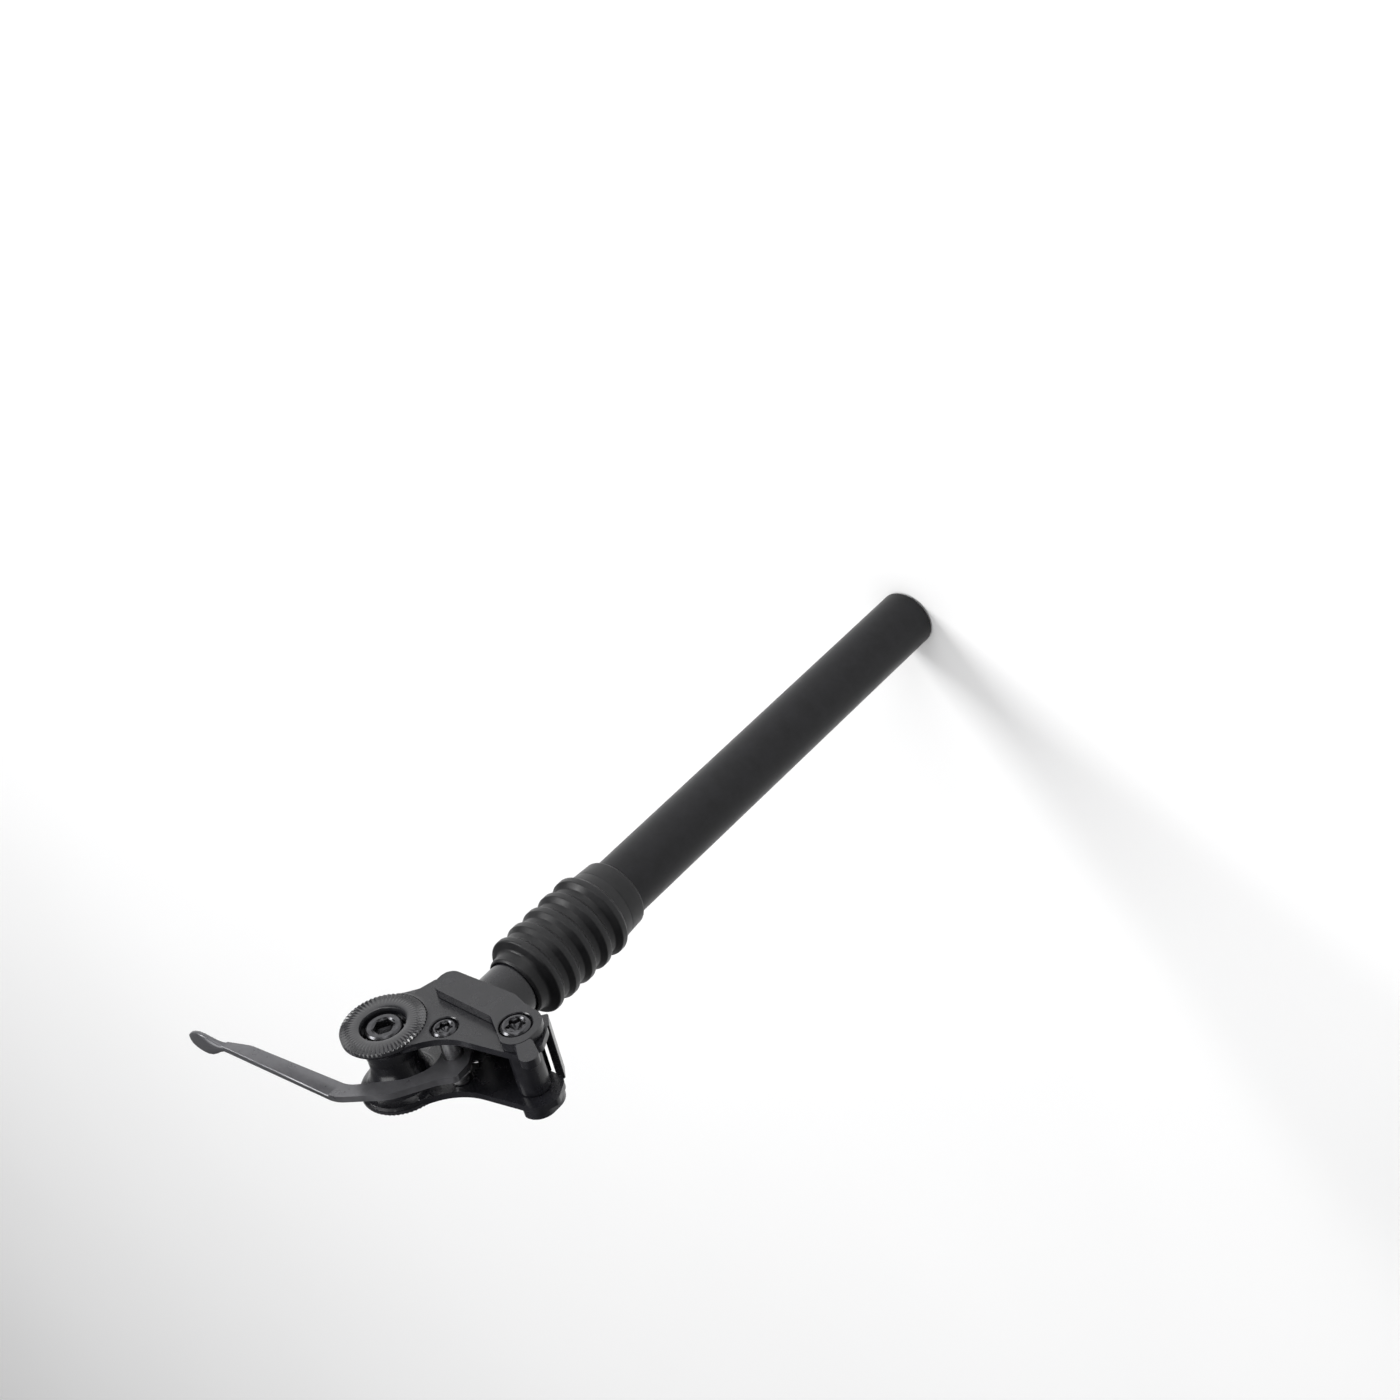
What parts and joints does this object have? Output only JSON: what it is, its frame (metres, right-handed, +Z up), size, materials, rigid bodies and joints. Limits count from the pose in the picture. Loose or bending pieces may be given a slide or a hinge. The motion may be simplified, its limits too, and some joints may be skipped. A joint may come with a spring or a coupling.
{
  "type": "suspension seatpost",
  "caption": "Telescopic suspension seatpost with a rubber boot and a tilting saddle head: serrated clamp discs, a forward hinge and a lever-released latch.",
  "frame": {"origin": "centre of the tube's lower end", "axes": "+Z up along the post, +X to the rear (the way the release handle points), +Y to the side"},
  "size_m": [0.1631, 0.0406, 0.3652],
  "materials": {
    "tube_paint": "satin black powder coat with a very fine orange peel",
    "head_paint": "satin black paint on cast and forged alloy, edges polished a little by handling",
    "lever_paint": "satin black paint on a bent steel bar",
    "boot_rubber": "matte black moulded rubber",
    "black_steel": "black-oxide screw steel, slightly glossy",
    "bright_steel": "bare turned or zinc-plated steel",
    "hard_anodised": "dark hard-anodised alloy",
    "bush_plastic": "dark self-lubricating plastic",
    "elastomer": "translucent amber polyurethane"
  },
  "bodies": {
    "post": {"post_tube": "tube_paint", "guide_bush": "bush_plastic", "anti_rotation_key_front": "bright_steel", "anti_rotation_key_rear": "bright_steel", "gland_nut": "hard_anodised", "wiper_seal": "boot_rubber", "main_spring": "bright_steel", "elastomer_core": "elastomer", "boot": "boot_rubber"},
    "preload_adjuster": {"preload_plug": "bright_steel", "spring_seat": "bush_plastic"},
    "slider": {"stanchion_tube": "hard_anodised", "slider_bush": "bush_plastic", "top_out_bumper": "boot_rubber", "retaining_ring": "bright_steel", "spring_cap": "bright_steel", "hinge_bracket": "head_paint", "catch_pin": "black_steel", "pivot_bolt": "black_steel", "pivot_nut": "black_steel", "stop_plate": "head_paint"},
    "yoke": {"saddle_yoke": "head_paint", "serrated_disc_left": "head_paint", "serrated_disc_right": "head_paint", "pivot_bush_left": "bush_plastic", "pivot_bush_right": "bush_plastic", "pivot_sleeve": "head_paint", "clamp_washer_left": "bright_steel", "clamp_washer_right": "bright_steel", "clamp_bolt": "black_steel", "clamp_nut": "black_steel", "latch_axle": "black_steel", "latch_axle_nut": "black_steel", "latch_spacer": "bright_steel", "latch_spring": "bright_steel"},
    "latch": {"latch_lever": "lever_paint"}
  },
  "joints": [
    {"name": "suspension_travel", "type": "slide", "parent": "post", "child": "slider", "axis": [0, 0, 1], "range_m": [-0.035, 0], "stiffness_N_per_m": 8000, "springref_m": 0.008, "deforming": ["boot", "main_spring", "elastomer_core"]},
    {"name": "preload_screw", "type": "slide", "parent": "post", "child": "preload_adjuster", "axis": [0, 0, 1], "range_m": [0, 0.008], "deforming": ["main_spring", "elastomer_core"]},
    {"name": "head_tilt", "type": "hinge", "parent": "slider", "child": "yoke", "pos_m": [-0.035, 0, 0.3117], "axis": [0, -1, 0], "range_deg": [0, 60]},
    {"name": "latch_release", "type": "hinge", "parent": "yoke", "child": "latch", "pos_m": [-0.0048, 0, 0.3223], "axis": [0, -1, 0], "range_deg": [0, 18], "stiffness_Nm_per_rad": 0.3, "springref_deg": -28.65}
  ]
}
